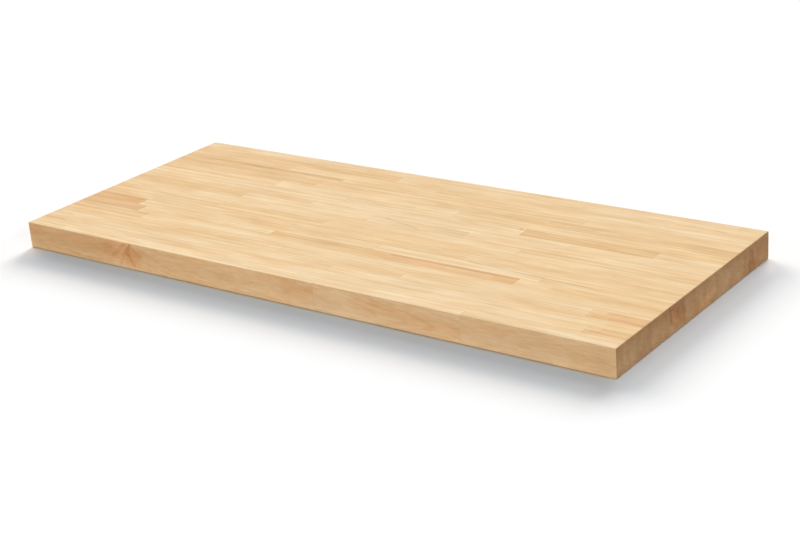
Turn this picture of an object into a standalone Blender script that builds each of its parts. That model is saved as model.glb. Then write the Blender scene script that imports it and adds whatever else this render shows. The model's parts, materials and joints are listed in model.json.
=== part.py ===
# Butcher block countertop: solid wood staves glued edge to edge and end to end into one slab.
# Units are metres and +Z is up. The origin is the centre of the underside.
# +X points to the right-hand end and -Y to the front edge.

import bmesh
import bpy
from mathutils import Vector

# Finished slab
LENGTH = 1.5
DEPTH = 0.635
THICKNESS = 0.06

# Joints and edges
GLUE_LINE = 0.0003  # gap between neighbouring staves
EDGE_TRIM = 0.0015  # planed off the outer rows as the slab is brought to its depth
ARRIS_RADIUS = 0.002  # easing along the slab's outer edges
ARRIS_SEGMENTS = 3
ROUND_PROFILE = 0.5  # the bevel's profile of a quarter circle

# Wood: sRGB colour of each tone, and a satin surface
TONES = {
    "pale": (243, 214, 172),
    "cream": (240, 209, 165),
    "honey": (236, 203, 157),
    "tan": (230, 194, 146),
    "chestnut": (222, 180, 130),
}
ROUGHNESS = 0.45

# Rows of staves from the back edge to the front edge, each read from left to right. A stave is
# its tone and its length, measured between the middles of its glue lines. One stave of each row
# takes up what the others leave of the slab's length.
REST = None
LETTERS = "abcdefgh"
LAY_UP = (
    (("pale", 0.50), ("cream", REST), ("pale", 0.44)),
    (("tan", 0.61), ("pale", REST), ("cream", 0.20)),
    (("honey", 0.32), ("cream", REST), ("pale", 0.57)),
    (("tan", 0.49), ("honey", REST), ("cream", 0.36)),
    (("tan", 0.45), ("honey", REST), ("tan", 0.43)),
    (("cream", 0.36), ("pale", REST), ("cream", 0.64)),
    (("pale", 0.58), ("pale", REST), ("tan", 0.31), ("cream", 0.14)),
    (("cream", 0.52), ("pale", REST), ("pale", 0.32)),
    (("tan", 0.34), ("pale", REST), ("honey", 0.25), ("cream", 0.55)),
    (("pale", 0.46), ("cream", REST), ("pale", 0.40)),
    (("honey", 0.33), ("tan", 0.30), ("cream", REST)),
    (("honey", REST), ("cream", 0.48)),
    (("chestnut", 0.15), ("cream", REST), ("pale", 0.40), ("honey", 0.28)),
    (("chestnut", 0.18), ("pale", REST), ("tan", 0.31), ("chestnut", 0.31), ("tan", 0.32)),
    (("tan", 0.22), ("pale", REST)),
    (("honey", 0.64), ("honey", REST), ("cream", 0.42), ("chestnut", 0.12)),
    (("pale", 0.80), ("pale", REST)),
    (("cream", 0.56), ("pale", REST), ("tan", 0.09)),
    (("pale", REST), ("pale", 0.35), ("pale", 0.33)),
)

# Worked out from the sizes above
ROWS = len(LAY_UP)
STAVE_WIDTH = (DEPTH + 2 * EDGE_TRIM - (ROWS - 1) * GLUE_LINE) / ROWS
ROW_PITCH = STAVE_WIDTH + GLUE_LINE
LEFT_END = -LENGTH / 2
BACK_EDGE = DEPTH / 2
FRONT_EDGE = -DEPTH / 2

SIDES = {
    "left": Vector((-1, 0, 0)),
    "right": Vector((1, 0, 0)),
    "front": Vector((0, -1, 0)),
    "back": Vector((0, 1, 0)),
    "bottom": Vector((0, 0, -1)),
    "top": Vector((0, 0, 1)),
}


def clear_scene():
    for old in list(bpy.data.objects):
        bpy.data.objects.remove(old, do_unlink=True)


def linear(channel):
    # One sRGB channel, 0 to 255, as scene-linear light
    value = channel / 255
    if value <= 0.04045:
        return value / 12.92
    return ((value + 0.055) / 1.055) ** 2.4


def wood_material(name, tone):
    material = bpy.data.materials.new(name)
    material.use_nodes = True
    shader = material.node_tree.nodes["Principled BSDF"]
    colour = [linear(channel) for channel in TONES[tone]]
    shader.inputs["Base Color"].default_value = (*colour, 1)
    shader.inputs["Roughness"].default_value = ROUGHNESS
    shader.inputs["Metallic"].default_value = 0
    material.diffuse_color = (*colour, 1)
    return material


def row_edges(row):
    # Back and front of a row. The two outer rows end at the slab's own edges.
    back = BACK_EDGE + EDGE_TRIM - row * ROW_PITCH
    front = back - STAVE_WIDTH
    return min(back, BACK_EDGE), max(front, FRONT_EDGE)


def row_staves(row):
    # Tone, left end and right end of each stave in the row, clear of the glue lines
    taken = sum(length for tone, length in row if length is not REST)
    staves = []
    joint = 0
    for index, (tone, length) in enumerate(row):
        start = joint if index == 0 else joint + GLUE_LINE / 2
        joint += LENGTH - taken if length is REST else length
        end = joint if index == len(row) - 1 else joint - GLUE_LINE / 2
        staves.append((tone, start, end))
    return staves


def side_of(face):
    return max(SIDES, key=lambda side: SIDES[side].dot(face.normal))


def stave_mesh(name, length, width, outer_sides):
    # A square-edged box with an eased arris wherever two of the slab's outer faces meet
    shape = bmesh.new()
    bmesh.ops.create_cube(shape, size=1)
    bmesh.ops.scale(shape, verts=shape.verts, vec=(length, width, THICKNESS))
    shape.normal_update()
    arrises = [
        edge
        for edge in shape.edges
        if all(side_of(face) in outer_sides for face in edge.link_faces)
    ]
    eased = bmesh.ops.bevel(
        shape,
        geom=arrises,
        offset=ARRIS_RADIUS,
        offset_type="OFFSET",
        segments=ARRIS_SEGMENTS,
        profile=ROUND_PROFILE,
        affect="EDGES",
    )
    for face in eased["faces"]:
        face.smooth = True
    mesh = bpy.data.meshes.new(name)
    shape.to_mesh(mesh)
    shape.free()
    return mesh


def add_stave(name, tone, ends, edges, outer_sides, slab):
    start, end = ends
    back, front = edges
    mesh = stave_mesh(name, end - start, back - front, outer_sides)
    mesh.materials.append(wood_material(name, tone))
    stave = bpy.data.objects.new(name, mesh)
    bpy.context.scene.collection.objects.link(stave)
    stave.parent = slab
    stave.location = (LEFT_END + (start + end) / 2, (back + front) / 2, THICKNESS / 2)
    return stave


def outer_sides_of(row, index, count):
    # The sides of a stave that are part of the slab's own outside
    sides = {"top", "bottom"}
    if row == 0:
        sides.add("back")
    if row == ROWS - 1:
        sides.add("front")
    if index == 0:
        sides.add("left")
    if index == count - 1:
        sides.add("right")
    return sides


def add_row(row, slab):
    staves = row_staves(LAY_UP[row])
    for index, (tone, start, end) in enumerate(staves):
        name = f"stave_{row + 1:02d}_{LETTERS[index]}"
        sides = outer_sides_of(row, index, len(staves))
        add_stave(name, tone, (start, end), row_edges(row), sides, slab)


def build_countertop():
    clear_scene()
    slab = bpy.data.objects.new("butcher_block_countertop", None)
    bpy.context.scene.collection.objects.link(slab)
    for row in range(ROWS):
        add_row(row, slab)


build_countertop()
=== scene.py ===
# Butcher block countertop: the wood of every stave, with painted light and shade on its sides and
# ends, the glue between them, and a studio with painted light and shade on the floor at the slab's
# foot.
# Metres throughout, in the frame of the imported model: +X is the right-hand end, -Y the front.

import json
import math
import random

import bmesh
import bpy
from mathutils import Matrix, Vector


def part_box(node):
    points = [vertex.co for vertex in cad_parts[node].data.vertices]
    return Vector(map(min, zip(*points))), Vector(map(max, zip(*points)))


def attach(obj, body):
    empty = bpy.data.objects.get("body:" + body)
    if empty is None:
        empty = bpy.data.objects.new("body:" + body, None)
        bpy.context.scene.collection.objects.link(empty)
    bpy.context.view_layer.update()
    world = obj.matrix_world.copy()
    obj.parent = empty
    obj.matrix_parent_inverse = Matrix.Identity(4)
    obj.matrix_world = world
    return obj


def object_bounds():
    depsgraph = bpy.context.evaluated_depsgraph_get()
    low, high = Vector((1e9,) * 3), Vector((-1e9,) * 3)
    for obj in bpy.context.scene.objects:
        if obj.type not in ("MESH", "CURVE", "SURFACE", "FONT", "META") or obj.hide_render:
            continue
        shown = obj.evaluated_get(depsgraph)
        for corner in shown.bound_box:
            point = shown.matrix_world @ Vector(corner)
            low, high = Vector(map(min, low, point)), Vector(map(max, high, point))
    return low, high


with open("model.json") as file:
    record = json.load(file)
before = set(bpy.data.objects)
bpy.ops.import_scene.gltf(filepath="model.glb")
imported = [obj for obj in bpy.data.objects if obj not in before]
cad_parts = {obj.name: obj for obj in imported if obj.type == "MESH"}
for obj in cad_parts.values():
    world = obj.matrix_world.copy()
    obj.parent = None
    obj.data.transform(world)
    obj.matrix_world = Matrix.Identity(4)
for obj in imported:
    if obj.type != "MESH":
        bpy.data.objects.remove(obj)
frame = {"nodes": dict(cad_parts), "record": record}
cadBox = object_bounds()
cadLow, cadHigh = cadBox
nodes = frame["nodes"]
print("frame loaded:", len(nodes), "staves")


# The photographer's place

camera = {
    "place": (2.066, -2.635, 1.294),
    "turn": 37.44,  # degrees from +Y towards -X
    "dip": 21.68,  # degrees below level
    "roll": 4.44,  # right-hand side down
    "lens": 75.11,  # mm on a 36 mm sensor
}


def addToScene(name, data):
    thing = bpy.data.objects.new(name, data)
    bpy.context.scene.collection.objects.link(thing)
    return thing


def turned(degrees, axis):
    return Matrix.Rotation(math.radians(degrees), 4, axis)


def makeCamera():
    lens = bpy.data.cameras.new("camera")
    lens.lens = camera["lens"]
    lens.sensor_width = 36
    eye = addToScene("camera", lens)
    aim = turned(camera["turn"], "Z") @ turned(90 - camera["dip"], "X") @ turned(-camera["roll"], "Z")
    eye.matrix_world = Matrix.Translation(camera["place"]) @ aim
    bpy.context.scene.camera = eye


makeCamera()
print("camera placed")


# Small helpers for shader trees: a value may be a number, a colour or another node's output


def feed(tree, socket, value):
    if isinstance(value, bpy.types.NodeSocket):
        tree.links.new(value, socket)
    elif value is not None:
        socket.default_value = value


def addNode(tree, kind, values=(), **settings):
    node = tree.nodes.new("ShaderNode" + kind)
    for name, setting in settings.items():
        setattr(node, name, setting)
    for socket, value in zip(node.inputs, values):
        feed(tree, socket, value)
    return node


def calc(tree, operation, *values, clamp=False):
    return addNode(tree, "Math", values, operation=operation, use_clamp=clamp).outputs[0]


def vectorCalc(tree, operation, *values):
    node = addNode(tree, "VectorMath", values, operation=operation)
    return node.outputs["Value" if operation in ("LENGTH", "DOT_PRODUCT") else "Vector"]


def joinAxes(tree, x, y, z):
    return addNode(tree, "CombineXYZ", (x, y, z)).outputs[0]


def splitAxes(tree, vector):
    return addNode(tree, "SeparateXYZ", (vector,)).outputs


def ease(tree, value, low, high, start=0.0, end=1.0):
    # Soft step from start, below low, to end, above high
    node = addNode(tree, "MapRange", interpolation_type="SMOOTHSTEP")
    for socket, given in zip(node.inputs, (value, low, high, start, end)):
        feed(tree, socket, given)
    return node.outputs[0]


def noise(tree, vector, seed, detail=2.0, roughness=0.5, output=0):
    node = addNode(tree, "TexNoise", noise_dimensions="4D")
    for name, given in {
        "Vector": vector,
        "W": seed,
        "Scale": 1.0,
        "Detail": detail,
        "Roughness": roughness,
    }.items():
        feed(tree, node.inputs[name], given)
    return node.outputs[output]


def lineNoise(tree, place, detail=2.0, roughness=0.5):
    node = addNode(tree, "TexNoise", noise_dimensions="1D")
    for name, given in {"W": place, "Scale": 1.0, "Detail": detail, "Roughness": roughness}.items():
        feed(tree, node.inputs[name], given)
    return node.outputs[0]


def blendColours(tree, share, first, second, way="MIX"):
    node = addNode(tree, "Mix", data_type="RGBA", blend_type=way)
    feed(tree, node.inputs[0], share)
    feed(tree, node.inputs[6], first)
    feed(tree, node.inputs[7], second)
    return node.outputs[2]


socketKinds = {
    "value": "NodeSocketFloat",
    "vector": "NodeSocketVector",
    "colour": "NodeSocketColor",
}


def newGroup(name, inputs, outputs):
    tree = bpy.data.node_groups.new(name, "ShaderNodeTree")
    for label, (kind, start) in inputs.items():
        socket = tree.interface.new_socket(name=label, in_out="INPUT", socket_type=socketKinds[kind])
        socket.default_value = start
    for label, kind in outputs.items():
        tree.interface.new_socket(name=label, in_out="OUTPUT", socket_type=socketKinds[kind])
    given = tree.nodes.new("NodeGroupInput").outputs
    result = tree.nodes.new("NodeGroupOutput").inputs
    return tree, given, result


def useGroup(tree, group, **values):
    node = tree.nodes.new("ShaderNodeGroup")
    node.node_tree = group
    for name, value in values.items():
        feed(tree, node.inputs[name], value)
    return node.outputs


def linear(colour):
    # sRGB, 0 to 255, as a scene-linear colour
    def channel(value):
        value /= 255
        return value / 12.92 if value <= 0.04045 else ((value + 0.055) / 1.055) ** 2.4

    return (*(channel(value) for value in colour), 1)


# Wood, as it is in the log: growth rings about a pith, fibres and pores that follow them

waves = {  # how many a metre in each pattern, along the stave and across it
    "sway": (1.7, 9, 9),
    "Cloud": (6.5, 32, 32),
    "Streak": (9, 130, 130),
    "Fleck": (42, 230, 230),
    "Fibre": (18, 800, 800),
    "hue": (7, 45, 45),
    "pore": (140, 1300, 1300),
}
years = {
    "drift": (0.13, 4),  # how often the rings crowd or spread, and by how many years
    "bands": 0.36,  # a year
    "bandRange": (0.3, 0.7),
    "lateWood": (0.3, 0.9),  # from when in the year to when
    "lateStrength": (0.3, 0.7),  # at the least, and what chance adds
    "seedShift": 7.31,
}
shading = {  # middle of each pattern, how much it darkens the top, and the long sides
    "Band": (0.5, 0.5, 0.25),
    "Late": (0.2, 0.35, 0.3),
    "Cloud": (0.5, 2.2, 1.3),
    "Streak": (0.5, 1.1, 1.1),
    "Fleck": (0.5, 0.3, 1.9),
    "Fibre": (0.5, 1.0, 1.0),
}
woodTint = {
    "shade": 0.48,  # between the light and the dark wood, before the patterns
    "shadeLimits": (-0.2, 1.2),
    "hueSpread": 2.2,
    "hueSeed": 31.7,
    "cooler": (0.985, 1.0, 1.04, 1),
    "warmer": (1.015, 0.985, 0.935, 1),
    "pore": (0.22, 0.12, 0.05, 1),
    "poreShare": 0.16,
    # The long sides: darker and warmer than the top, partly the side grain's own colour and partly
    # painted shade, and lighter at the foot than at the top, which is painted light and shade
    "sideFoot": (1.05, 0.972, 0.91, 1),
    "sideTop": (0.884, 0.771, 0.672, 1),
    "sideTopFrom": 0.6,  # share of the height
    # Painted shade on the back side, which the windows light strongly
    "backSideShade": (0.78, 0.69, 0.61, 1),
    # Painted shade on the lower arris
    "underShade": (0.42, 0.38, 0.34, 1),
}
feel = {  # of the planed wood: its roughness, and heights as a share of the bump's
    "roughness": 0.46,
    "fibreRough": 0.12,
    "lateRough": -0.06,
    "endRough": 0.12,
    "poreRim": (0.1, 0.28),  # in widths of a pore's own cell
    "poreHeight": -0.6,
    "lateHeight": 0.4,
}
endGrain = {
    "brown": (0.8, 0.56, 0.31, 1),
    "brownShare": 0.78,
    "cloudWaves": (30, 26, 15),
    "cloudSeed": 3.1,
    "cloudRange": (0.36, 0.64),
    "cloudPale": (0.68, 0.56, 0.46, 1),
    "cloudDark": (0.57, 0.43, 0.31, 1),
    "ringWaves": (30, 45, 260),
    "ringLean": 0.5,  # radians
    "ringSeed": 7.9,
    "ringRange": (0.3, 0.7),
    "ringLevel": (0.91, 1.05),
    # foot, top and belly are painted light and shade by height on the end: lighter at the foot and in
    # a band above it, darker towards the top. rim darkens a band along the top edge.
    "foot": (1.1, 1.19, 1.29, 1),
    "top": (0.81, 0.77, 0.695, 1),
    "bellyLight": (1.06, 1.045, 1.03, 1),
    "bellyRise": (0.08, 0.25),  # shares of the height
    "bellyFall": (0.35, 0.75),
    "rim": (0.93, 0.92, 0.86, 1),
    "rimFrom": 0.72,  # share of the height
}


def makeGrainSpace():
    # Straightens the stave into the trunk: how far each point is from the pith
    tree, given, result = newGroup(
        "grainSpace",
        {
            "Position": ("vector", (0, 0, 0)),
            "Pith": ("vector", (0, 0.1, 0)),
            "Slope": ("vector", (0, 0, 0)),
            "Sway": ("value", 0.002),
            "Seed": ("value", 0.0),
        },
        {"Grain": "vector", "Radius": "value"},
    )
    slow = vectorCalc(tree, "MULTIPLY", given["Position"], waves["sway"])
    wander = noise(tree, slow, given["Seed"], detail=1, output=1)
    wander = vectorCalc(tree, "SUBTRACT", wander, (0.5, 0.5, 0.5))
    sway = calc(tree, "MULTIPLY", given["Sway"], 2)
    across = joinAxes(tree, 0, sway, sway)
    along = splitAxes(tree, given["Position"])[0]
    drift = vectorCalc(tree, "MULTIPLY", given["Slope"], joinAxes(tree, 0, along, along))
    grain = vectorCalc(tree, "MULTIPLY_ADD", wander, across, given["Position"])
    grain = vectorCalc(tree, "ADD", grain, drift)
    fromPith = vectorCalc(tree, "SUBTRACT", grain, given["Pith"])
    fromPith = vectorCalc(tree, "MULTIPLY", fromPith, (0, 1, 1))
    feed(tree, result["Grain"], grain)
    feed(tree, result["Radius"], vectorCalc(tree, "LENGTH", fromPith))
    return tree


def makeGrowthRings():
    # Bands are years that grew differently, late is the thin dark end of each year
    tree, given, result = newGroup(
        "growthRings",
        {
            "Radius": ("value", 0.1),
            "Spacing": ("value", 0.003),
            "Seed": ("value", 0.0),
        },
        {"Band": "value", "Late": "value"},
    )
    often, byYears = years["drift"]
    age = calc(tree, "DIVIDE", given["Radius"], given["Spacing"])
    offset = calc(tree, "MULTIPLY", given["Seed"], years["seedShift"])
    slow = calc(tree, "MULTIPLY_ADD", age, often, offset)
    age = calc(tree, "MULTIPLY_ADD", lineNoise(tree, slow, detail=1), byYears, age)
    band = calc(tree, "MULTIPLY_ADD", age, years["bands"], offset)
    band = lineNoise(tree, band, detail=2.5, roughness=0.55)
    inYear = calc(tree, "FRACT", age)
    rise = ease(tree, inYear, *years["lateWood"])
    fall = ease(tree, inYear, years["lateWood"][1], 1.0, 1.0, 0.0)
    whichYear = calc(tree, "ADD", calc(tree, "FLOOR", age), offset)
    chance = addNode(tree, "TexWhiteNoise", noise_dimensions="1D")
    feed(tree, chance.inputs["W"], whichYear)
    least, more = years["lateStrength"]
    strength = calc(tree, "MULTIPLY_ADD", chance.outputs["Value"], more, least)
    late = calc(tree, "MULTIPLY", calc(tree, "MULTIPLY", rise, fall), strength)
    feed(tree, result["Band"], ease(tree, band, *years["bandRange"]))
    feed(tree, result["Late"], late)
    return tree


def makeFibres():
    # Clouds and streaks in the colour, fibres of a fraction of a millimetre, pores cut lengthwise
    tree, given, result = newGroup(
        "fibres",
        {"Grain": ("vector", (0, 0, 0)), "Seed": ("value", 0.0)},
        dict.fromkeys(("Cloud", "Streak", "Fleck", "Fibre", "Hue", "Pore"), "value"),
    )
    for label, detail, roughness in (
        ("Cloud", 2, 0.6),
        ("Streak", 3, 0.6),
        ("Fleck", 2, 0.6),
        ("Fibre", 2, 0.5),
    ):
        stretched = vectorCalc(tree, "MULTIPLY", given["Grain"], waves[label])
        feed(tree, result[label], noise(tree, stretched, given["Seed"], detail, roughness))
    slow = vectorCalc(tree, "MULTIPLY", given["Grain"], waves["hue"])
    otherSeed = calc(tree, "ADD", given["Seed"], woodTint["hueSeed"])
    feed(tree, result["Hue"], noise(tree, slow, otherSeed, detail=1))
    cells = addNode(tree, "TexVoronoi", voronoi_dimensions="4D")
    feed(tree, cells.inputs["Vector"], vectorCalc(tree, "MULTIPLY", given["Grain"], waves["pore"]))
    feed(tree, cells.inputs["W"], given["Seed"])
    feed(tree, cells.inputs["Scale"], 1.0)
    pore = ease(tree, cells.outputs["Distance"], *feel["poreRim"], 1.0, 0.0)
    feed(tree, result["Pore"], pore)
    return tree


cuts = {  # how squarely a face looks out: where it starts to count, and where it counts fully
    "outwards": (0.5, 0.9),
    "downwards": (0.1, 0.35),
    "underside": (0.93, 0.99),
}


def makeCutFaces():
    # Which way the saw went: across the fibres at the ends, along them on the long sides. Under
    # is the lower arris, which faces down and gets painted shade.
    tree, given, result = newGroup(
        "cutFaces",
        {"Facing": ("vector", (0, 0, 1))},
        {"End": "value", "Edge": "value", "Under": "value"},
    )
    facing = splitAxes(tree, vectorCalc(tree, "ABSOLUTE", given["Facing"]))
    feed(tree, result["End"], ease(tree, facing[0], *cuts["outwards"]))
    feed(tree, result["Edge"], ease(tree, facing[1], *cuts["outwards"]))
    down = calc(tree, "MULTIPLY", splitAxes(tree, given["Facing"])[2], -1)
    slanted = ease(tree, down, *cuts["downwards"])
    notFlat = ease(tree, down, *cuts["underside"], 1.0, 0.0)
    feed(tree, result["Under"], calc(tree, "MULTIPLY", slanted, notFlat))
    return tree


def endGrainColour(tree, given, colour, rise):
    # One brown, clouded across the joints, with little left of each board's own tone
    endShare = calc(tree, "MULTIPLY", given["End"], endGrain["brownShare"])
    colour = blendColours(tree, endShare, colour, endGrain["brown"])
    clouds = vectorCalc(tree, "MULTIPLY", given["Position"], endGrain["cloudWaves"])
    clouds = noise(tree, clouds, endGrain["cloudSeed"], detail=3, roughness=0.6)
    clouds = ease(tree, clouds, *endGrain["cloudRange"])
    clouds = blendColours(tree, clouds, endGrain["cloudPale"], endGrain["cloudDark"])
    lean = (endGrain["ringLean"], 0, 0)
    arcs = addNode(tree, "Mapping", (given["Position"], (0, 0, 0), lean)).outputs[0]
    arcs = vectorCalc(tree, "MULTIPLY", arcs, endGrain["ringWaves"])
    arcs = noise(tree, arcs, endGrain["ringSeed"], detail=3, roughness=0.65)
    arcs = ease(tree, arcs, *endGrain["ringRange"], *endGrain["ringLevel"])
    clouds = vectorCalc(tree, "SCALE", clouds, None, None, arcs)
    # Painted light and shade by height: lighter at the foot and in a band above it, darker towards
    # the top
    paintedLightByHeight = blendColours(tree, rise, endGrain["foot"], endGrain["top"])
    clouds = blendColours(tree, 1.0, clouds, paintedLightByHeight, "MULTIPLY")
    bellyLight = ease(tree, rise, *endGrain["bellyFall"], 1.0, 0.0)
    bellyLight = calc(tree, "MULTIPLY", ease(tree, rise, *endGrain["bellyRise"]), bellyLight)
    clouds = blendColours(tree, bellyLight, clouds, endGrain["bellyLight"], "MULTIPLY")
    rim = ease(tree, rise, endGrain["rimFrom"], 1.0)
    clouds = blendColours(tree, rim, clouds, endGrain["rim"], "MULTIPLY")
    return blendColours(tree, given["End"], colour, clouds, "MULTIPLY")


def makeWoodColour():
    # The wood of the board by its patterns, then the cast of its sides and ends, partly their own
    # colour and partly painted light and shade, and the painted shade of the lower arris
    tree, given, result = newGroup(
        "woodColour",
        {
            "Position": ("vector", (0, 0, 0)),
            "Light": ("colour", (0.8, 0.6, 0.4, 1)),
            "Dark": ("colour", (0.6, 0.4, 0.2, 1)),
            **dict.fromkeys(("Depth", "Warmth", *shading, "Hue", "Pore"), ("value", 0.0)),
            **dict.fromkeys(("End", "Edge", "Under"), ("value", 0.0)),
        },
        {"Color": "colour", "Height": "value", "Roughness": "value"},
    )
    shade = calc(tree, "ADD", given["Depth"], woodTint["shade"])
    for name, (middle, onTop, onSides) in shading.items():
        part = calc(tree, "SUBTRACT", given[name], middle)
        weight = ease(tree, given["Edge"], 0, 1, onTop, onSides)
        shade = calc(tree, "MULTIPLY_ADD", part, weight, shade)
    lightest, darkest = woodTint["shadeLimits"]
    shade = calc(tree, "MAXIMUM", calc(tree, "MINIMUM", shade, darkest), lightest)
    colour = addNode(tree, "Mix", data_type="RGBA", clamp_factor=False)
    feed(tree, colour.inputs[0], shade)
    feed(tree, colour.inputs[6], given["Light"])
    feed(tree, colour.inputs[7], given["Dark"])
    colour = colour.outputs[2]
    hue = calc(tree, "SUBTRACT", given["Hue"], 0.5)
    hue = calc(tree, "MULTIPLY_ADD", hue, woodTint["hueSpread"], 0.5)
    hue = calc(tree, "ADD", hue, given["Warmth"], clamp=True)
    hue = blendColours(tree, hue, woodTint["cooler"], woodTint["warmer"])
    colour = blendColours(tree, 1.0, colour, hue, "MULTIPLY")
    pores = calc(tree, "MULTIPLY", given["Pore"], woodTint["poreShare"])
    colour = blendColours(tree, pores, colour, woodTint["pore"])
    place = splitAxes(tree, given["Position"])
    rise = calc(tree, "DIVIDE", place[2], cadHigh[2], clamp=True)
    # Painted light and shade on the long sides: lighter at the foot, darker towards the top
    side = ease(tree, rise, 0, woodTint["sideTopFrom"])
    side = blendColours(tree, side, woodTint["sideFoot"], woodTint["sideTop"])
    # Painted shade: darker on the back side than on the front
    towardsBack = ease(tree, place[1], cadLow[1], cadHigh[1])
    side = blendColours(tree, towardsBack, side, woodTint["backSideShade"])
    colour = blendColours(tree, given["Edge"], colour, side, "MULTIPLY")
    colour = endGrainColour(tree, given, colour, rise)
    # Painted shade on the lower arris
    colour = blendColours(tree, given["Under"], colour, woodTint["underShade"], "MULTIPLY")
    feed(tree, result["Color"], colour)
    height = calc(tree, "MULTIPLY_ADD", given["Pore"], feel["poreHeight"], given["Fibre"])
    height = calc(tree, "MULTIPLY_ADD", given["Late"], feel["lateHeight"], height)
    feed(tree, result["Height"], height)
    rough = calc(tree, "MULTIPLY_ADD", given["Fibre"], feel["fibreRough"], feel["roughness"])
    rough = calc(tree, "MULTIPLY_ADD", given["Late"], feel["lateRough"], rough)
    rough = calc(tree, "MULTIPLY_ADD", given["End"], feel["endRough"], rough)
    feed(tree, result["Roughness"], rough)
    return tree


markShape = {
    "outlineWaves": (30, 70, 70),
    "fleckWaves": (16, 140, 140),
    "fleckRange": (0.36, 0.62),
    "core": 0.3,  # share of the width that shows fully
}


def makeMark():
    # A streak, band or spot: what lies within Width of the line from Start to End
    tree, given, result = newGroup(
        "mark",
        {
            "Position": ("vector", (0, 0, 0)),
            "Start": ("vector", (0, 0, 0)),
            "End": ("vector", (0.1, 0, 0)),
            "Width": ("value", 0.005),
            "Break": ("value", 0.5),
            "Seed": ("value", 0.0),
        },
        {"Mask": "value"},
    )
    shaky = vectorCalc(tree, "MULTIPLY", given["Position"], markShape["outlineWaves"])
    shaky = noise(tree, shaky, given["Seed"], output=1)
    shaky = vectorCalc(tree, "SUBTRACT", shaky, (0.5, 0.5, 0.5))
    shaky = vectorCalc(tree, "SCALE", shaky, None, None, given["Width"])
    place = vectorCalc(tree, "ADD", given["Position"], shaky)
    run = vectorCalc(tree, "SUBTRACT", given["End"], given["Start"])
    place = vectorCalc(tree, "SUBTRACT", place, given["Start"])
    squared = calc(tree, "MAXIMUM", vectorCalc(tree, "DOT_PRODUCT", run, run), 1e-9)
    share = calc(tree, "DIVIDE", vectorCalc(tree, "DOT_PRODUCT", place, run), squared, clamp=True)
    nearest = vectorCalc(tree, "SCALE", run, None, None, share)
    away = vectorCalc(tree, "LENGTH", vectorCalc(tree, "SUBTRACT", place, nearest))
    core = calc(tree, "MULTIPLY", given["Width"], markShape["core"])
    inside = ease(tree, away, core, given["Width"], 1.0, 0.0)
    flecks = vectorCalc(tree, "MULTIPLY", given["Position"], markShape["fleckWaves"])
    flecks = ease(tree, noise(tree, flecks, given["Seed"]), *markShape["fleckRange"])
    lost = calc(tree, "MULTIPLY", calc(tree, "SUBTRACT", 1, flecks), given["Break"])
    feed(tree, result["Mask"], calc(tree, "MULTIPLY", inside, calc(tree, "SUBTRACT", 1, lost)))
    return tree


knot = {  # at the top of the front edge
    "board": "19_a",
    "left": 0.3155,
    "lift": 0.014,  # how far the grain rises round it
    "swellReach": 0.085,
    "fanReach": 0.065,
    "fanCore": 0.35,  # share of the reach that shows fully
    "fanAngle": (0.45, 0.9),  # radians to each side, where it starts to fade and where it ends
    "fanWaves": (6, 14),  # a radian, and a metre outwards
    "fanRange": (0.36, 0.62),
    "fanShare": (0.4, 0.6),  # all over, and what its streaks add
}


def makeKnotSwell():
    # Lifts the grain in a hump, as it swells round a knot above
    tree, given, result = newGroup(
        "knotSwell",
        {
            "Position": ("vector", (0, 0, 0)),
            "Knot": ("vector", (0, 0, 0)),
            "Lift": ("value", 0.015),
            "Reach": ("value", 0.09),
        },
        {"Position": "vector"},
    )
    along = splitAxes(tree, vectorCalc(tree, "SUBTRACT", given["Position"], given["Knot"]))[0]
    along = calc(tree, "DIVIDE", along, given["Reach"])
    hump = calc(tree, "EXPONENT", calc(tree, "MULTIPLY", calc(tree, "MULTIPLY", along, along), -1))
    lift = calc(tree, "MULTIPLY", hump, given["Lift"])
    lifted = vectorCalc(tree, "SUBTRACT", given["Position"], joinAxes(tree, 0, 0, lift))
    feed(tree, result["Position"], lifted)
    return tree


def makeKnotFan():
    # Fibres that turn down from a knot at the edge: Mask is the fan, Ray its streaks
    tree, given, result = newGroup(
        "knotFan",
        {
            "Position": ("vector", (0, 0, 0)),
            "Knot": ("vector", (0, 0, 0)),
            "Reach": ("value", 0.06),
            "Seed": ("value", 0.0),
        },
        {"Mask": "value", "Ray": "value"},
    )
    away = splitAxes(tree, vectorCalc(tree, "SUBTRACT", given["Position"], given["Knot"]))
    down = calc(tree, "MULTIPLY", away[2], -1)
    angle = calc(tree, "ARCTAN2", away[0], down)
    distance = vectorCalc(tree, "LENGTH", joinAxes(tree, away[0], 0, down))
    inside = ease(tree, calc(tree, "ABSOLUTE", angle), *knot["fanAngle"], 1.0, 0.0)
    core = calc(tree, "MULTIPLY", given["Reach"], knot["fanCore"])
    faded = ease(tree, distance, core, given["Reach"], 1.0, 0.0)
    feed(tree, result["Mask"], calc(tree, "MULTIPLY", inside, faded))
    around, outwards = knot["fanWaves"]
    rays = joinAxes(
        tree, calc(tree, "MULTIPLY", angle, around), calc(tree, "MULTIPLY", distance, outwards), 0
    )
    rays = noise(tree, rays, given["Seed"], detail=3)
    feed(tree, result["Ray"], ease(tree, rays, *knot["fanRange"]))
    return tree


grainSpace = makeGrainSpace()
growthRings = makeGrowthRings()
fibres = makeFibres()
cutFaces = makeCutFaces()
woodColour = makeWoodColour()
mark = makeMark()
knotSwell = makeKnotSwell()
knotFan = makeKnotFan()
print("wood groups made")


# Staves: each from its own board, so each has its own tone, pith and seed

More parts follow.
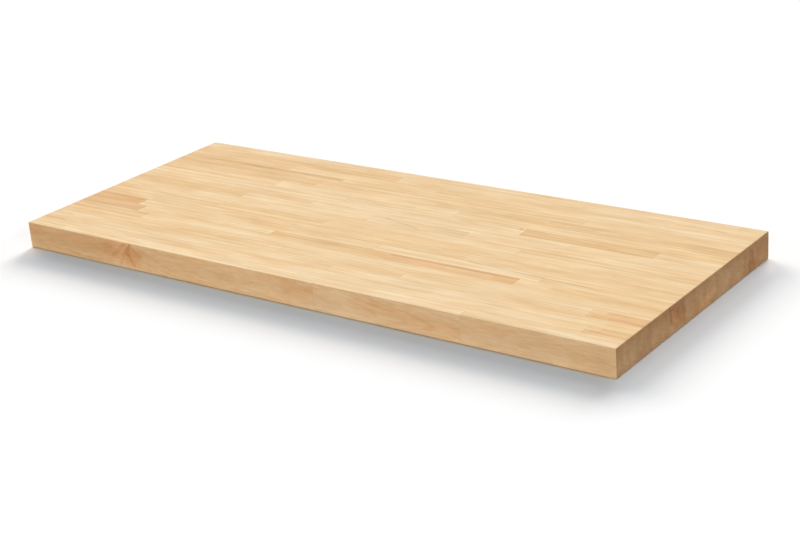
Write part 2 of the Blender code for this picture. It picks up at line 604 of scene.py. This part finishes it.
wood = {
    "tones": {  # light and dark wood of each tone, sRGB
        "pale_wood": ((245, 218, 175), (230, 194, 143)),
        "cream_wood": ((243, 214, 169), (228, 190, 137)),
        "honey_wood": ((241, 210, 163), (225, 185, 131)),
        "tan_wood": ((238, 203, 153), (219, 177, 121)),
        "chestnut_wood": ((233, 192, 140), (212, 165, 108)),
    },
    "seed": 1905,
    "pithAway": (0.05, 0.16),  # to the front or back of the stave's middle
    "pithHeight": 0.05,  # above or below it, at most
    "ringSpacing": (0.0022, 0.0042),
    "slope": 0.006,  # drift of the grain along the stave, at most
    "sway": (0.001, 0.0024),
    "specular": 0.4,
    "bump": 0.00006,  # metres
}

# How single boards differ from their tone. Depth darkens and warmth reddens. The three of the
# front row have their pith straight behind the edge, which shows broad arcs there.
boards = {
    "01_a": {"depth": 0.12, "warmth": -0.4},
    "01_b": {"warmth": -0.25},
    "01_c": {"depth": 0.08},
    "02_b": {"depth": 0.2},
    "03_a": {"depth": 0.15},
    "04_a": {"depth": 0.05},
    "06_a": {"depth": 0.3},
    "06_b": {"depth": -0.1},
    "07_c": {"depth": 0.15},
    "07_d": {"depth": -0.1},
    "08_a": {"depth": 0.12},
    "09_c": {"depth": -0.12, "warmth": -0.4},
    "10_c": {"depth": 0.2},
    "11_b": {"depth": -0.55},
    "12_b": {"depth": 0.15},
    "13_a": {"depth": 0.2, "warmth": 0.2},
    "13_b": {"depth": 0.12},
    "13_c": {"depth": -0.12},
    "13_d": {"depth": -0.08},
    "14_a": {"depth": 0.15, "warmth": -0.3},
    "14_b": {"depth": 0.1},
    "14_c": {"depth": 0.2},
    "14_d": {"depth": -0.3, "warmth": -0.1},
    "14_e": {"depth": -0.3},
    "15_a": {"depth": 0.1},
    "16_b": {"depth": -0.05},
    "16_c": {"warmth": -0.25},
    "16_d": {"depth": -0.12},
    "17_a": {"depth": 0.12},
    "19_a": {
        "warmth": 0.1,
        "pith": (0, 0.1, 0.004),
        "spacing": 0.0021,
        "slope": (0, 0.016, 0.01),
    },
    "19_b": {
        "depth": -0.2,
        "warmth": -0.1,
        "pith": (0, 0.12, -0.008),
        "spacing": 0.0018,
        "slope": (0, -0.02, 0.004),
    },
    "19_c": {
        "depth": -0.1,
        "warmth": -0.3,
        "pith": (0, 0.09, 0.01),
        "spacing": 0.0024,
        "slope": (0, 0.014, -0.008),
    },
}

# Each mark in the wood: the boards it lies on, start and end of the line that it follows, half its
# width, its tint, how strongly it shows, and how broken it is
tints = {
    "umber": (0.5, 0.36, 0.26, 1),
    "rust": (0.92, 0.74, 0.58, 1),
    "amber": (0.97, 0.84, 0.66, 1),
    "olive": (0.88, 0.84, 0.72, 1),
    "sienna": (0.78, 0.56, 0.42, 1),
    "slate": (0.76, 0.69, 0.61, 1),
    "walnut": (0.7, 0.58, 0.43, 1),
    "bleach": (1.1, 1.27, 1.48, 1),
    "cream": (1.05, 1.06, 1.08, 1),
    "ember": (1.15, 1.04, 0.93, 1),
}
marks = {
    "top": (  # metres from the left-hand end and from the back edge
        ("01_c", (1.45, 0.017), (1.5, 0.017), 0.016, "olive", 0.6, 0.1),
        ("02_c", (1.305, 0.041), (1.43, 0.046), 0.0022, "umber", 0.45, 0.6),
        ("03_a 03_b", (0.65, 0.083), (0.73, 0.084), 0.014, "bleach", 0.35, 0.3),
        ("04_a", (0.0, 0.106), (0.49, 0.107), 0.009, "olive", 0.75, 0.3),
        ("04_a 04_b", (0.58, 0.117), (0.67, 0.118), 0.013, "olive", 0.5, 0.3),
        ("05_b", (0.79, 0.15), (1.06, 0.157), 0.012, "olive", 0.7, 0.4),
        ("05_b", (0.86, 0.138), (0.98, 0.14), 0.0016, "umber", 0.4, 0.8),
        ("05_b", (0.87, 0.149), (0.98, 0.151), 0.0016, "umber", 0.4, 0.8),
        ("05_b 05_c", (1.12, 0.15), (1.2, 0.151), 0.014, "bleach", 0.35, 0.3),
        ("06_b", (0.6, 0.188), (0.75, 0.188), 0.011, "olive", 0.8, 0.5),
        ("06_c", (1.38, 0.184), (1.5, 0.186), 0.015, "amber", 0.5, 0.3),
        ("07_a", (0.1, 0.217), (0.19, 0.218), 0.014, "amber", 0.4, 0.3),
        ("07_d", (1.36, 0.204), (1.5, 0.206), 0.006, "amber", 0.6, 0.5),
        ("07_c", (1.19, 0.22), (1.27, 0.222), 0.01, "amber", 0.4, 0.4),
        ("07_c", (1.27, 0.213), (1.36, 0.215), 0.014, "olive", 0.15, 0.3),
        ("07_b", (1.035, 0.2045), (1.039, 0.2045), 0.004, "umber", 0.6, 0.0),
        ("08_a", (0.12, 0.251), (0.25, 0.253), 0.014, "amber", 0.4, 0.3),
        ("09_c", (0.735, 0.27), (0.83, 0.292), 0.005, "slate", 0.55, 0.5),
        ("11_a", (0.08, 0.343), (0.25, 0.358), 0.003, "umber", 0.25, 0.7),
        ("11_a", (0.0, 0.352), (0.05, 0.353), 0.012, "amber", 0.7, 0.3),
        ("11_b", (0.34, 0.347), (0.62, 0.349), 0.012, "olive", 0.9, 0.3),
        ("11_c", (1.2, 0.351), (1.32, 0.352), 0.017, "bleach", 0.35, 0.3),
        ("12_a", (0.0, 0.378), (0.06, 0.379), 0.012, "amber", 0.7, 0.3),
        ("12_a", (0.16, 0.389), (0.47, 0.391), 0.01, "olive", 0.5, 0.5),
        ("12_b", (1.44, 0.384), (1.5, 0.385), 0.014, "bleach", 0.3, 0.3),
        ("13_a", (0.0, 0.406), (0.15, 0.407), 0.007, "walnut", 0.5, 0.4),
        ("13_a", (0.02, 0.421), (0.14, 0.422), 0.007, "amber", 0.6, 0.4),
        ("13_b", (0.48, 0.414), (0.57, 0.42), 0.017, "amber", 0.55, 0.4),
        ("13_c", (1.04, 0.404), (1.225, 0.413), 0.0022, "umber", 0.55, 0.4),
        ("13_d", (1.215, 0.413), (1.33, 0.418), 0.0022, "umber", 0.5, 0.5),
        ("14_b", (0.43, 0.451), (0.54, 0.453), 0.016, "olive", 0.5, 0.3),
        ("14_d", (0.87, 0.439), (1.18, 0.441), 0.006, "walnut", 0.3, 0.6),
        ("14_d", (1.02, 0.45), (1.12, 0.452), 0.014, "bleach", 0.35, 0.3),
        ("14_d", (0.93, 0.456), (1.1, 0.458), 0.008, "rust", 0.5, 0.8),
        ("14_d", (1.13, 0.448), (1.18, 0.449), 0.016, "olive", 0.4, 0.3),
        ("14_e", (1.18, 0.449), (1.25, 0.452), 0.016, "bleach", 0.45, 0.3),
        ("16_a", (0.0, 0.512), (0.6, 0.514), 0.008, "amber", 0.5, 0.5),
        ("16_d", (1.375, 0.511), (1.405, 0.508), 0.014, "bleach", 0.9, 0.3),
        ("16_d", (1.378, 0.53), (1.384, 0.53), 0.01, "bleach", 0.85, 0.3),
        ("16_d", (1.43, 0.527), (1.5, 0.53), 0.008, "rust", 0.6, 0.4),
        ("17_a", (0.0, 0.551), (0.05, 0.551), 0.016, "olive", 0.6, 0.2),
        ("17_b", (1.44, 0.551), (1.5, 0.552), 0.015, "amber", 0.5, 0.2),
        ("18_a", (0.0, 0.582), (0.06, 0.582), 0.008, "rust", 0.6, 0.3),
        ("18_b", (0.56, 0.585), (0.7, 0.587), 0.018, "amber", 0.4, 0.2),
        ("18_c", (1.405, 0.578), (1.43, 0.573), 0.012, "bleach", 0.6, 0.3),
        ("18_c", (1.425, 0.59), (1.5, 0.592), 0.006, "rust", 0.55, 0.4),
        ("19_a", (0.0, 0.618), (0.09, 0.62), 0.018, "olive", 0.6, 0.2),
        ("19_a 19_b 19_c", (0.05, 0.604), (1.5, 0.604), 0.008, "cream", 0.9, 0.1),
        ("19_c", (1.18, 0.612), (1.5, 0.616), 0.0028, "amber", 0.5, 0.5),
        ("19_c", (1.18, 0.62), (1.5, 0.624), 0.0026, "cream", 0.5, 0.3),
    ),
    "front": (  # metres from the left-hand end and from the underside
        ("19_a", (0.0, 0.044), (0.3, 0.044), 0.024, "rust", 0.45, 0.5),
        ("19_a", (0.0, 0.03), (0.2, 0.03), 0.08, "olive", 0.4, 0.0),
        ("19_a", (0.0, 0.03), (0.22, 0.03), 0.07, "slate", 0.33, 0.0),
        ("19_a", (0.0, 0.03), (0.02, 0.03), 0.05, "slate", 0.38, 0.0),
        ("19_a", (0.25, 0.034), (0.335, 0.034), 0.03, "rust", 0.6, 0.2),
        ("19_a", (0.317, 0.06), (0.314, 0.049), 0.0055, "sienna", 0.5, 0.1),
        ("19_a", (0.314, 0.048), (0.3125, 0.031), 0.0055, "sienna", 0.28, 0.2),
        ("19_a", (0.308, 0.034), (0.326, 0.012), 0.006, "sienna", 0.55, 0.2),
        ("19_a", (0.319, 0.056), (0.345, 0.034), 0.006, "sienna", 0.45, 0.3),
        ("19_a", (0.305, 0.058), (0.262, 0.024), 0.006, "sienna", 0.4, 0.3),
        ("19_a", (0.31, 0.05), (0.284, 0.012), 0.006, "sienna", 0.35, 0.4),
        ("19_a", (0.75, 0.042), (0.82, 0.042), 0.022, "rust", 0.45, 0.3),
        ("19_b", (0.93, 0.034), (1.15, 0.03), 0.028, "rust", 0.42, 0.5),
        ("19_c", (1.48, 0.03), (1.5, 0.03), 0.05, "slate", 0.2, 0.0),
    ),
    "rightEnd": (  # metres from the back edge and from the underside
        ("14_e 15_b 16_d", (0.505, 0.03), (0.45, 0.03), 0.034, "slate", 0.32, 0.0),
        ("16_d 17_b 18_c 19_c", (0.61, 0.03), (0.54, 0.03), 0.042, "bleach", 0.3, 0.0),
        ("04_c 05_c 06_c 07_d", (0.21, 0.03), (0.14, 0.03), 0.035, "bleach", 0.2, 0.0),
        ("12_b 13_d", (0.42, 0.045), (0.39, 0.03), 0.028, "rust", 0.8, 0.3),
        ("12_b 13_d", (0.42, 0.04), (0.4, 0.04), 0.014, "amber", 0.6, 0.3),
        ("13_d", (0.431, 0.056), (0.4265, 0.026), 0.006, "walnut", 0.6, 0.3),
        ("13_d", (0.424, 0.024), (0.408, 0.012), 0.009, "rust", 0.85, 0.2),
        ("13_d", (0.42, 0.053), (0.417, 0.05), 0.006, "walnut", 0.5, 0.0),
        ("12_b 13_d", (0.402, 0.04), (0.392, 0.016), 0.006, "walnut", 0.45, 0.3),
        ("12_b", (0.383, 0.052), (0.374, 0.03), 0.009, "walnut", 0.4, 0.3),
        ("02_c 03_c", (0.087, 0.045), (0.074, 0.014), 0.016, "rust", 0.8, 0.3),
        ("03_c", (0.0905, 0.024), (0.088, 0.003), 0.009, "walnut", 0.8, 0.2),
        ("02_c 03_c", (0.076, 0.02), (0.069, 0.012), 0.012, "rust", 0.8, 0.2),
        ("02_c 03_c", (0.08, 0.042), (0.078, 0.03), 0.007, "walnut", 0.45, 0.2),
        ("01_c 02_c 03_c 04_c", (0.0, 0.03), (0.088, 0.03), 0.045, "olive", 1.0, 0.0),
        ("01_c 02_c 03_c 04_c", (0.0, 0.03), (0.088, 0.03), 0.045, "rust", 0.4, 0.2),
        ("01_c 02_c 03_c", (0.0, 0.03), (0.06, 0.03), 0.04, "slate", 0.25, 0.0),
        ("01_c", (0.0, 0.03), (0.006, 0.03), 0.03, "slate", 0.5, 0.0),
        ("04_c", (0.132, 0.016), (0.122, 0.013), 0.008, "ember", 1.0, 0.2),
        ("05_c 06_c", (0.15, 0.01), (0.17, 0.01), 0.006, "ember", 0.8, 0.3),
        ("08_c 09_d 10_c", (0.255, 0.022), (0.31, 0.012), 0.012, "ember", 1.0, 0.2),
        ("10_c 11_c", (0.325, 0.012), (0.338, 0.012), 0.009, "ember", 0.8, 0.2),
        ("12_b", (0.385, 0.018), (0.375, 0.012), 0.009, "rust", 0.6, 0.3),
        ("14_e", (0.46, 0.015), (0.468, 0.014), 0.007, "ember", 1.0, 0.1),
        ("15_b 16_d", (0.5, 0.006), (0.525, 0.006), 0.006, "olive", 0.6, 0.3),
        ("16_d 17_b", (0.54, 0.014), (0.546, 0.013), 0.006, "rust", 0.6, 0.3),
    ),
}

slotOf = {part["node"]: part["material_slot"] for part in frame["record"]["subparts"]}
dice = random.Random(wood["seed"])


def onTop(left, back):
    return (cadLow[0] + left, cadHigh[1] - back, cadHigh[2])


def onFront(left, height):
    return (cadLow[0] + left, cadLow[1], height)


def onRightEnd(back, height):
    return (cadHigh[0], cadHigh[1] - back, height)


def addMarks(tree, colour, board, position, cut, seed):
    for face, place, onFace in (
        ("top", onTop, 1.0),
        ("front", onFront, cut["Edge"]),
        ("rightEnd", onRightEnd, cut["End"]),
    ):
        for where, start, end, width, tint, strength, broken in marks[face]:
            if board not in where.split():
                continue
            mask = useGroup(
                tree,
                mark,
                Position=position,
                Start=place(*start),
                End=place(*end),
                Width=width,
                Break=broken,
                Seed=seed,
            )["Mask"]
            share = calc(tree, "MULTIPLY", calc(tree, "MULTIPLY", mask, strength), onFace)
            colour = blendColours(tree, share, colour, tints[tint], "MULTIPLY")
    return colour


def addKnotFan(tree, colour, position, seed):
    fan = useGroup(
        tree,
        knotFan,
        Position=position,
        Knot=onFront(knot["left"], cadHigh[2]),
        Reach=knot["fanReach"],
        Seed=seed,
    )
    allOver, streaks = knot["fanShare"]
    share = calc(tree, "MULTIPLY_ADD", fan["Ray"], streaks, allOver)
    share = calc(tree, "MULTIPLY", share, fan["Mask"])
    return blendColours(tree, share, colour, tints["rust"], "MULTIPLY")


def makeStaveWood(name):
    low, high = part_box(name)
    board = name.removeprefix("stave_")
    own = boards.get(board, {})
    side = dice.choice((-1, 1))
    pith = (0, side * dice.uniform(*wood["pithAway"]), dice.uniform(-1, 1) * wood["pithHeight"])
    slope = (0, dice.uniform(-1, 1) * wood["slope"], dice.uniform(-1, 1) * wood["slope"])
    sway = dice.uniform(*wood["sway"])
    spacing = dice.uniform(*wood["ringSpacing"])
    seed = dice.uniform(0, 500)
    light, dark = wood["tones"][slotOf[name]]

    material = bpy.data.materials.new(name + "Wood")
    material.use_nodes = True
    tree = material.node_tree
    shader = tree.nodes["Principled BSDF"]
    places = addNode(tree, "TexCoord").outputs
    position = places["Object"]
    grainPosition = position
    if board == knot["board"]:
        grainPosition = useGroup(
            tree,
            knotSwell,
            Position=position,
            Knot=onFront(knot["left"], cadHigh[2]),
            Lift=knot["lift"],
            Reach=knot["swellReach"],
        )["Position"]
    middle = (low + high) / 2
    centred = addNode(tree, "Mapping", (grainPosition, middle), vector_type="TEXTURE").outputs[0]
    space = useGroup(
        tree,
        grainSpace,
        Position=centred,
        Pith=own.get("pith", pith),
        Slope=own.get("slope", slope),
        Sway=sway,
        Seed=seed,
    )
    rings = useGroup(
        tree, growthRings, Radius=space["Radius"], Spacing=own.get("spacing", spacing), Seed=seed
    )
    lines = useGroup(tree, fibres, Grain=space["Grain"], Seed=seed)
    cut = useGroup(tree, cutFaces, Facing=places["Normal"])
    surface = useGroup(
        tree,
        woodColour,
        Position=position,
        Light=linear(light),
        Dark=linear(dark),
        Depth=own.get("depth", 0.0),
        Warmth=own.get("warmth", 0.0),
        Band=rings["Band"],
        Late=rings["Late"],
        Cloud=lines["Cloud"],
        Streak=lines["Streak"],
        Fleck=lines["Fleck"],
        Fibre=lines["Fibre"],
        Hue=lines["Hue"],
        Pore=lines["Pore"],
        End=cut["End"],
        Edge=cut["Edge"],
        Under=cut["Under"],
    )
    colour = addMarks(tree, surface["Color"], board, position, cut, seed)
    if board == knot["board"]:
        colour = addKnotFan(tree, colour, position, seed)
    bump = addNode(tree, "Bump")
    bump.inputs["Distance"].default_value = wood["bump"]
    feed(tree, bump.inputs["Height"], surface["Height"])
    feed(tree, shader.inputs["Base Color"], colour)
    feed(tree, shader.inputs["Roughness"], surface["Roughness"])
    feed(tree, shader.inputs["Normal"], bump.outputs["Normal"])
    shader.inputs["Specular IOR Level"].default_value = wood["specular"]
    return material


for name in sorted(nodes):
    nodes[name].material_slots[0].material = makeStaveWood(name)
print("staves dressed:", len(nodes))


# Glue lines: a film of glue fills each joint, between the rows and end to end in each row

glue = {
    "film": 0.00028,  # its thickness
    "recess": 0.00005,  # how far it stays below the planed wood
    "arris": 0.0021,  # follows the eased corners of the slab
    "cornerSteps": 3,
    "weld": 0.000001,
    "colour": (196, 156, 108),
    "darker": 0.8,
    "endCast": (0.7, 0.62, 0.55, 1),
    "cloudWaves": (60, 60, 60),
    "cloudSeed": 8.4,
    "roughness": (0.4, 0.6),
}
glueInputs = {  # the tree's named inputs
    "Row Length": "NodeSocketFloat",
    "Height": "NodeSocketFloat",
    "Stave Width": "NodeSocketFloat",
    "Outer Stave Width": "NodeSocketFloat",
    "Film": "NodeSocketFloat",
    "Arris": "NodeSocketFloat",
    "Row Joints": "NodeSocketInt",
    "First Joint": "NodeSocketVector",
    "Row Step": "NodeSocketVector",
    "Glue": "NodeSocketMaterial",
}


def geoNode(tree, kind, values, **settings):
    node = tree.nodes.new("GeometryNode" + kind)
    for name, setting in settings.items():
        setattr(node, name, setting)
    for name, value in values.items():
        feed(tree, node.inputs[name], value)
    return node.outputs[0]


def plate(tree, width, height, thickness, corner, turn):
    # A thin closed sheet, laid out flat about its middle and then stood up
    outline = geoNode(tree, "CurvePrimitiveQuadrilateral", {"Width": width, "Height": height})
    if corner is not None:
        steps = glue["cornerSteps"]
        rounding = {"Curve": outline, "Radius": corner, "Count": steps}
        outline = geoNode(tree, "FilletCurve", rounding, mode="POLY")
    sheet = geoNode(tree, "FillCurve", {"Curve": outline}, mode="NGONS")
    raised = geoNode(tree, "ExtrudeMesh", {"Mesh": sheet, "Offset Scale": thickness}, mode="FACES")
    back = geoNode(tree, "FlipFaces", {"Mesh": sheet})
    both = joinGeometry(tree, raised, back)
    closed = geoNode(tree, "MergeByDistance", {"Geometry": both, "Distance": glue["weld"]})
    drop = tree.nodes.new("ShaderNodeVectorMath")
    drop.operation = "SCALE"
    drop.inputs[0].default_value = (0, 0, -0.5)
    feed(tree, drop.inputs["Scale"], thickness)
    centred = geoNode(tree, "Transform", {"Geometry": closed, "Translation": drop.outputs[0]})
    turn = tuple(math.radians(degrees) for degrees in turn)
    return geoNode(tree, "Transform", {"Geometry": centred, "Rotation": turn})


def joinGeometry(tree, *parts):
    join = tree.nodes.new("GeometryNodeJoinGeometry")
    for part in reversed(parts):
        tree.links.new(part, join.inputs[0])
    return join.outputs[0]


def makeGlueTree():
    tree = bpy.data.node_groups.new("glueSheets", "GeometryNodeTree")
    tree.interface.new_socket(name="Butt Joints", in_out="INPUT", socket_type="NodeSocketGeometry")
    for name, kind in glueInputs.items():
        tree.interface.new_socket(name=name, in_out="INPUT", socket_type=kind)
    tree.interface.new_socket(name="Sheets", in_out="OUTPUT", socket_type="NodeSocketGeometry")
    given = tree.nodes.new("NodeGroupInput").outputs
    thickness, height, arris = given["Film"], given["Height"], given["Arris"]

    rowSheet = plate(tree, given["Row Length"], height, thickness, arris, (90, 0, 0))
    joints = {
        "Count": given["Row Joints"],
        "Start Location": given["First Joint"],
        "Offset": given["Row Step"],
    }
    rows = geoNode(tree, "MeshLine", joints, mode="OFFSET")
    rows = geoNode(tree, "InstanceOnPoints", {"Points": rows, "Instance": rowSheet})

    inner = plate(tree, given["Stave Width"], height, thickness, None, (90, 0, 90))
    outer = plate(tree, given["Outer Stave Width"], height, thickness, arris, (90, 0, 90))
    isOuter = geoNode(tree, "InputNamedAttribute", {"Name": "outerRow"}, data_type="BOOLEAN")
    isInner = tree.nodes.new("FunctionNodeBooleanMath")
    isInner.operation = "NOT"
    tree.links.new(isOuter, isInner.inputs[0])
    butts = [
        geoNode(
            tree,
            "InstanceOnPoints",
            {"Points": given["Butt Joints"], "Selection": selection, "Instance": sheet},
        )
        for selection, sheet in ((isInner.outputs[0], inner), (isOuter, outer))
    ]
    sheets = joinGeometry(tree, rows, *butts)
    sheets = geoNode(tree, "RealizeInstances", {"Geometry": sheets})
    sheets = geoNode(tree, "SetMaterial", {"Geometry": sheets, "Material": given["Glue"]})
    tree.links.new(sheets, tree.nodes.new("NodeGroupOutput").inputs[0])
    return tree


def makeGlueMaterial():
    material = bpy.data.materials.new("driedGlue")
    material.use_nodes = True
    tree = material.node_tree
    shader = tree.nodes["Principled BSDF"]
    places = addNode(tree, "TexCoord").outputs
    cut = useGroup(tree, cutFaces, Facing=places["Normal"])
    clouds = vectorCalc(tree, "MULTIPLY", places["Object"], glue["cloudWaves"])
    clouds = noise(tree, clouds, glue["cloudSeed"], detail=3)
    colour = linear(glue["colour"])
    darker = tuple(channel * glue["darker"] for channel in colour[:3]) + (1,)
    colour = blendColours(tree, clouds, colour, darker)
    colour = blendColours(tree, cut["End"], colour, glue["endCast"], "MULTIPLY")
    feed(tree, shader.inputs["Base Color"], colour)
    feed(tree, shader.inputs["Roughness"], ease(tree, clouds, 0.3, 0.7, *glue["roughness"]))
    return material


def staveRows():
    # The boxes of the staves in each row, from the back edge to the front and left to right
    rows = {}
    for name in sorted(nodes):
        rows.setdefault(name.split("_")[1], []).append(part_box(name))
    return [rows[number] for number in sorted(rows)]


def makeGlueLines():
    rows = staveRows()
    height = cadHigh[2] - cadLow[2]
    middle = (cadHigh[2] + cadLow[2]) / 2
    between = [(back[0][0].y + front[0][1].y) / 2 for back, front in zip(rows, rows[1:])]
    places = []
    isOuter = []
    for row in rows:
        for left, right in zip(row, row[1:]):
            places.append(((left[1].x + right[0].x) / 2, (left[0].y + left[1].y) / 2, middle))
            isOuter.append(row is rows[0] or row is rows[-1])
    mesh = bpy.data.meshes.new("buttJoints")
    mesh.from_pydata(places, [], [])
    mesh.attributes.new("outerRow", "BOOLEAN", "POINT").data.foreach_set("value", isOuter)
    points = addToScene("glueLines", mesh)

    def widthOf(box):
        return box[1].y - box[0].y - 2 * glue["recess"]

    sizes = {
        "Row Length": cadHigh[0] - cadLow[0] - 2 * glue["recess"],
        "Height": height - 2 * glue["recess"],
        "Stave Width": widthOf(rows[1][0]),
        "Outer Stave Width": widthOf(rows[0][0]),
        "Film": glue["film"],
        "Arris": glue["arris"],
        "Row Joints": len(between),
        "First Joint": (0, between[0], middle),
        "Row Step": (0, between[1] - between[0], 0),
        "Glue": makeGlueMaterial(),
    }
    tree = makeGlueTree()
    modifier = points.modifiers.new("glueSheets", "NODES")
    modifier.node_group = tree
    for socket in tree.interface.items_tree:
        if socket.in_out == "INPUT" and socket.name in sizes:
            modifier[socket.identifier] = sizes[socket.name]
    depsgraph = bpy.context.evaluated_depsgraph_get()
    sheets = bpy.data.meshes.new_from_object(points.evaluated_get(depsgraph))
    points.modifiers.clear()
    points.data = sheets
    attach(points, "root")
    print("glue lines:", len(between), "between rows,", len(places), "end to end")


makeGlueLines()


# Pale floor with painted light and shade at the slab's foot, soft light from two windows behind, a
# low fill in front and one on the right

studio = {
    "floorRadius": 60.0,
    "floorDrop": 0.0001,
    # floorSeen paints light on the floor: whiter away from the slab, so the slab's shadow ends sooner
    "floorSeen": (0.985, 1.05),  # what the camera sees of the lit floor, near the slab and far
    "floorFar": (0.07, 0.17),  # from how far off to how far it changes from one to the other
    "floorBounce": 0.85,  # how pale the floor is to the light that falls on it
    "world": 0.29,  # how strongly it lights
    "worldSeen": 1.0,  # what the camera sees of it
    "lamps": {  # direction it comes from (degrees from +X towards +Y), height, level, softness
        "windowBack": (105.5, 24.1, 0.373, 32),
        "windowLeft": (151.6, 24.3, 0.262, 40),
        "fillFront": (-80, 6.5, 0.033, 12),
        "fillRight": (-20, 15, 0.045, 25),
    },
    "sheenless": ("windowBack", "windowLeft"),  # lamps that add no gloss of their own
}
# Painted light and shade on the floor at the slab's foot
foot = {  # the floor close to the front edge and to the right-hand end, as the camera sees it
    # cool is painted shade: it darkens the shadow beside the slab and takes the wood's warm bounce
    # out of it
    "cool": (0.72, 0.876, 1.04, 1),  # takes the wood's warmth out of the shadow
    "coolReach": (0.13, 0.045),
    "coolShares": ((0.71, 0.29), (0.21, 0.5)),  # of each reach, in front and beside the end
    "coolCorner": (-0.1, 0.02),  # where the front's share gives way to the end's
    # glow is painted light that lifts the contact shadow
    "glow": (0.12, 0.37),  # lightens it, in front and beside the end
    "glowReach": (0.035, 0.045),
    # contact paints the line where slab meets floor: a warm painted shadow in front, painted light
    # beside the end
    "contact": ((1.0, 0.84, 0.68, 1), (1.18, 1.13, 1.07, 1)),  # tint of the line of contact
    "contactReach": (0.002, 0.009),
    "corner": (-0.03, 0.01),  # where glow and contact turn the corner
    "fade": 0.09,  # how far from the far corners all of it fades
}


def seenOrLit(tree, *rays):
    # 1 where the camera looks, and where the listed kinds of ray look
    path = addNode(tree, "LightPath").outputs
    seen = path["Is Camera Ray"]
    for ray in rays:
        seen = calc(tree, "MAXIMUM", seen, path[ray])
    return seen


def floorLevel(tree, place):
    # How white the camera sees the floor, by its distance from the slab: whiter further off, painted
    # light that cuts short the tail of the slab's shadow
    beyond = []
    for axis in (0, 1):
        fromMiddle = calc(tree, "ABSOLUTE", place[axis])
        beyond.append(calc(tree, "MAXIMUM", calc(tree, "SUBTRACT", fromMiddle, cadHigh[axis]), 0))
    away = vectorCalc(tree, "LENGTH", joinAxes(tree, *beyond, 0))
    return ease(tree, away, *studio["floorFar"], *studio["floorSeen"])


def atFoot(tree, place):
    # Painted light and shade on the floor at the slab's foot: how cool and dark the shadow is
    # painted, how much painted light lifts it, and the tint of the painted contact line
    ahead = calc(tree, "MAXIMUM", calc(tree, "SUBTRACT", cadLow[1], place[1]), 0)
    aside = calc(tree, "MAXIMUM", calc(tree, "SUBTRACT", place[0], cadHigh[0]), 0)
    away = vectorCalc(tree, "LENGTH", joinAxes(tree, aside, ahead, 0))
    fromLeft = ease(tree, place[0], cadLow[0], cadLow[0] + foot["fade"])
    fromBack = ease(tree, place[1], cadHigh[1] - foot["fade"], cadHigh[1], 1.0, 0.0)
    within = calc(tree, "MULTIPLY", fromLeft, fromBack)
    cool = 0
    coolCorner = [cadHigh[0] + shift for shift in foot["coolCorner"]]
    for reach, inFront, atEnd in zip(foot["coolReach"], *foot["coolShares"]):
        share = ease(tree, place[0], *coolCorner, inFront, atEnd)
        cool = calc(tree, "MULTIPLY_ADD", ease(tree, away, 0, reach, 1.0, 0.0), share, cool)
    cool = calc(tree, "MULTIPLY", cool, within)
    byEnd = ease(tree, place[0], *(cadHigh[0] + shift for shift in foot["corner"]))
    glow = ease(tree, byEnd, 0, 1, *foot["glow"])
    reach = ease(tree, byEnd, 0, 1, *foot["glowReach"])
    glow = calc(tree, "MULTIPLY", ease(tree, away, 0, reach, 1.0, 0.0), glow)
    glow = calc(tree, "MULTIPLY", glow, within)
    contact = blendColours(tree, byEnd, *foot["contact"])
    touching = ease(tree, away, *foot["contactReach"], 1.0, 0.0)
    touching = calc(tree, "MULTIPLY", touching, within)
    contact = blendColours(tree, touching, (1, 1, 1, 1), contact)
    return cool, glow, contact


def makeFloor():
    mesh = bpy.data.meshes.new("floor")
    shape = bmesh.new()
    bmesh.ops.create_circle(shape, cap_ends=True, radius=studio["floorRadius"], segments=64)
    shape.to_mesh(mesh)
    shape.free()
    mesh.transform(Matrix.Translation((0, 0, -studio["floorDrop"])))
    material = bpy.data.materials.new("paleFloor")
    material.use_nodes = True
    tree = material.node_tree
    shader = tree.nodes["Principled BSDF"]
    seen = seenOrLit(tree, "Is Glossy Ray", "Is Transmission Ray")
    place = splitAxes(tree, addNode(tree, "TexCoord").outputs["Object"])
    grey = ease(tree, seen, 0, 1, studio["floorBounce"], floorLevel(tree, place))
    # Painted shade, painted light and a painted contact line at the slab's foot, where the camera
    # looks
    cool, glow, contact = atFoot(tree, place)
    cool = calc(tree, "MULTIPLY", cool, seen)
    glow = calc(tree, "MULTIPLY_ADD", glow, seen, 1)
    colour = joinAxes(tree, grey, grey, grey)
    colour = blendColours(tree, cool, colour, foot["cool"], "MULTIPLY")
    colour = vectorCalc(tree, "SCALE", colour, None, None, glow)
    colour = blendColours(tree, seen, colour, contact, "MULTIPLY")
    feed(tree, shader.inputs["Base Color"], colour)
    shader.inputs["Roughness"].default_value = 1.0
    shader.inputs["Specular IOR Level"].default_value = 0.0
    mesh.materials.append(material)
    addToScene("floor", mesh)


def makeWorld():
    world = bpy.data.worlds.new("studio")
    bpy.context.scene.world = world
    world.use_nodes = True
    tree = world.node_tree
    background = tree.nodes["Background"]
    background.inputs["Color"].default_value = (1, 1, 1, 1)
    seen = seenOrLit(tree, "Is Glossy Ray", "Is Transmission Ray")
    strength = ease(tree, seen, 0, 1, studio["world"], studio["worldSeen"])
    feed(tree, background.inputs["Strength"], strength)


def makeLamp(name):
    around, height, level, softness = studio["lamps"][name]
    light = bpy.data.lights.new(name, "SUN")
    light.angle = math.radians(softness)
    light.energy = math.pi * level / math.sin(math.radians(height))  # level is what the floor gets
    lamp = addToScene(name, light)
    lamp.matrix_world = turned(around + 90, "Z") @ turned(90 - height, "X")
    lamp.visible_glossy = name not in studio["sheenless"]


makeFloor()
makeWorld()
for name in studio["lamps"]:
    makeLamp(name)
bpy.context.scene.view_settings.view_transform = "Standard"
print("studio set up")
